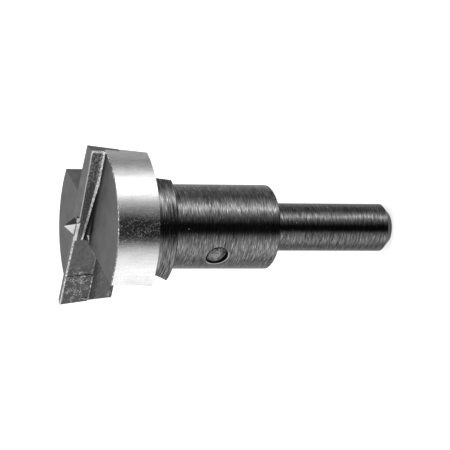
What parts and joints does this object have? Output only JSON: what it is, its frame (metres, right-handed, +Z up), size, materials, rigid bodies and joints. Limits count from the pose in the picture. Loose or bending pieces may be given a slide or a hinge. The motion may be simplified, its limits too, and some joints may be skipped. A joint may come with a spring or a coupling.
{
  "type": "hinge boring bit",
  "caption": "Boring bit for concealed hinge cups: a round head with carbide-tipped cutting wings and a centre point on a straight shank, with a stop collar held by a set screw.",
  "frame": {"origin": "middle of the flat end of the shank, on which the bit stands", "axes": "+Z up the axis from the shank end to the cutting head, +X along the cutting wings, +Y across them"},
  "size_m": [0.0348, 0.0348, 0.0685],
  "materials": {
    "tool_steel": "head milled and ground, rim bright, flange and shank black oxide",
    "carbide": "ground carbide, matte dark grey",
    "black_oxide": "turned steel, black oxide",
    "black_screw": "alloy steel, black oxide"
  },
  "bodies": {
    "bit": {"bit_body": "tool_steel", "carbide_tip_a": "carbide", "carbide_tip_b": "carbide"},
    "collar": {"stop_collar": "black_oxide"},
    "screw": {"set_screw": "black_screw"}
  },
  "joints": [
    {"name": "collar_slide", "type": "slide", "parent": "bit", "child": "collar", "axis": [0, 0, -1], "range_m": [0, 0.0248]},
    {"name": "set_screw_turn", "type": "hinge", "parent": "collar", "child": "screw", "pos_m": [0, 0, 0.03895], "axis": [-0.2079, -0.9781, 0], "range_deg": [0, 360]}
  ]
}
